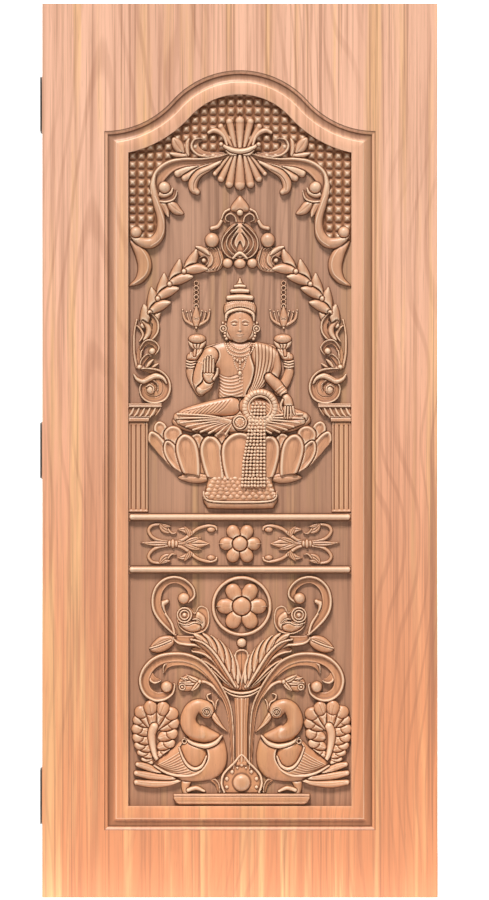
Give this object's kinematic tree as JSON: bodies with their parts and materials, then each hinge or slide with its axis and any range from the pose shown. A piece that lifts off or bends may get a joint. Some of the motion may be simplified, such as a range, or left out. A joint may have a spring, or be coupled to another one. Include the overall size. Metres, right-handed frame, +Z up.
{
  "type": "carved door leaf",
  "caption": "Carved teak door leaf with an arched moulded panel, a seated deity on a lotus in a garlanded niche, a rosette frieze and a pair of peacocks, hung on butt hinges.",
  "frame": {"origin": "middle of the leaf's bottom edge, halfway through its thickness", "axes": "+Z up along the leaf's height, +X along its width away from the hinge edge, -Y out of the carved front, +Y out of the plain back"},
  "size_m": [0.9125, 0.057, 2.045],
  "materials": {
    "teak_frame": "sanded teak with a thin satin sealer",
    "teak_ground": "darkened recessed teak",
    "teak_carving": "hand-carved teak, satin",
    "hinge_steel": "satin stainless",
    "screw_steel": "satin stainless"
  },
  "bodies": {
    "jamb_side": {"hinge_jamb_bottom": "hinge_steel", "hinge_jamb_middle": "hinge_steel", "hinge_jamb_top": "hinge_steel", "hinge_pins": "hinge_steel"},
    "door_leaf": {"left_stile": "teak_frame", "right_stile": "teak_frame", "top_rail": "teak_frame", "bottom_rail": "teak_frame", "panel_board": "teak_ground", "moulding_left": "teak_frame", "moulding_right": "teak_frame", "moulding_bottom": "teak_frame", "moulding_head": "teak_frame", "diaper_left": "teak_ground", "diaper_right": "teak_ground", "crest": "teak_carving", "crest_scroll_left": "teak_carving", "crest_scroll_right": "teak_carving", "finial": "teak_carving", "garland_left": "teak_carving", "garland_right": "teak_carving", "capital_left": "teak_carving", "capital_right": "teak_carving", "pilaster_left": "teak_carving", "pilaster_right": "teak_carving", "lamp_left": "teak_carving", "lamp_right": "teak_carving", "figure": "teak_carving", "coin_pot": "teak_carving", "coin_stream": "teak_carving", "lotus_seat": "teak_carving", "lotus_plinth": "teak_carving", "bead_rail_upper": "teak_carving", "bead_rail_lower": "teak_carving", "rosette": "teak_carving", "frieze_scroll_left": "teak_carving", "frieze_scroll_right": "teak_carving", "medallion_ring": "teak_carving", "medallion_flower": "teak_carving", "ball_drop": "teak_carving", "vase": "teak_carving", "plume_left": "teak_carving", "plume_right": "teak_carving", "upper_scroll_left": "teak_carving", "upper_scroll_right": "teak_carving", "rose_left": "teak_carving", "rose_right": "teak_carving", "bird_scroll_left": "teak_carving", "bird_scroll_right": "teak_carving", "peacock_left": "teak_carving", "peacock_right": "teak_carving", "teardrop": "teak_carving", "base_plinth": "teak_carving", "hinge_door_leaves": "hinge_steel", "hinge_screws": "screw_steel"}
  },
  "joints": [
    {"name": "door_swing", "type": "hinge", "parent": "jamb_side", "child": "door_leaf", "pos_m": [-0.454, 0.027, 0], "axis": [0, 0, 1], "range_deg": [0, 110]}
  ]
}
